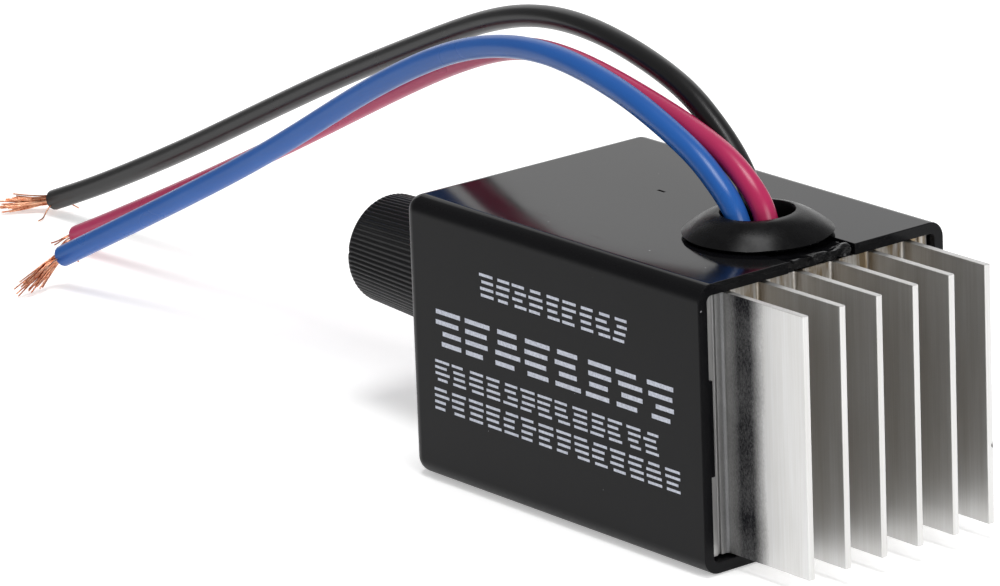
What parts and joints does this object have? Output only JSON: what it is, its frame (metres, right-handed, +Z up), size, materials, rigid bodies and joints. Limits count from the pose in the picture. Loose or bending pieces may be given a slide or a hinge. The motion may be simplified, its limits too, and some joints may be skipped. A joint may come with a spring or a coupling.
{
  "type": "electronic speed controller",
  "caption": "Electronic speed controller for a DC motor: black box housing with a finned aluminium heat sink at one end, a ribbed control knob at the other and free leads through a top grommet.",
  "frame": {"origin": "bottom centre of the object's box, measured without the free leads: the middle between knob tip and fin tips, the middle of the width, on the housing's underside", "axes": "+X from the knob to the heat sink, -Y out of the front wall, +Z up"},
  "size_m": [0.2065, 0.04, 0.0548],
  "materials": {
    "housing_abs": "black ABS, satin walls and a glossy top",
    "extruded_aluminium": "bare extruded aluminium with sawn ends",
    "grommet_rubber": "moulded black rubber",
    "sealant": "wet-looking black sealant",
    "knob_plastic": "moulded black plastic with fine ribs",
    "plated_steel": "zinc-plated steel",
    "brass_bushing": "turned brass",
    "shaft_aluminium": "turned aluminium",
    "phenolic": "brown phenolic laminate",
    "contact_bronze": "stamped bronze",
    "rotor_plastic": "moulded black plastic",
    "board_laminate": "green solder mask",
    "package_epoxy": "moulded black epoxy",
    "capacitor_sleeve": "dark blue shrink sleeve",
    "film_coating": "brown dipped coating",
    "resistor_enamel": "beige lacquer",
    "diode_glass": "orange glass",
    "thermal_sheet": "grey silicone sheet",
    "blue_pvc": "blue PVC insulation",
    "red_pvc": "red PVC insulation",
    "black_pvc": "black PVC insulation",
    "bare_copper": "bare stranded copper"
  },
  "bodies": {
    "case": {"housing": "housing_abs", "heat_sink": "extruded_aluminium", "cable_grommet": "grommet_rubber", "slot_sealant": "sealant", "potentiometer_bushing": "brass_bushing", "potentiometer_washer": "plated_steel", "potentiometer_nut": "plated_steel", "potentiometer_case": "plated_steel", "resistance_track_board": "phenolic", "potentiometer_terminal_left": "plated_steel", "potentiometer_terminal_centre": "plated_steel", "potentiometer_terminal_right": "plated_steel", "circuit_board": "board_laminate", "timer_chip": "package_epoxy", "bulk_capacitor": "capacitor_sleeve", "supply_capacitor": "capacitor_sleeve", "film_capacitor": "film_coating", "voltage_regulator": "package_epoxy", "resistor_1": "resistor_enamel", "resistor_2": "resistor_enamel", "resistor_3": "resistor_enamel", "resistor_4": "resistor_enamel", "signal_diode_1": "diode_glass", "signal_diode_2": "diode_glass", "power_mosfet": "package_epoxy", "flyback_diode": "package_epoxy", "mosfet_thermal_pad": "thermal_sheet", "diode_thermal_pad": "thermal_sheet", "mosfet_screw": "plated_steel", "diode_screw": "plated_steel", "blue_wire": "blue_pvc", "red_wire": "red_pvc", "black_wire": "black_pvc", "blue_wire_strands": "bare_copper", "red_wire_strands": "bare_copper", "black_wire_strands": "bare_copper"},
    "knob": {"control_knob": "knob_plastic", "potentiometer_shaft": "shaft_aluminium", "potentiometer_rotor": "rotor_plastic", "wiper_contact": "contact_bronze"}
  },
  "joints": [
    {"name": "knob_turn", "type": "hinge", "parent": "case", "child": "knob", "pos_m": [-0.0211, 0, 0.0195], "axis": [1, 0, 0], "range_deg": [-232, 68]}
  ]
}
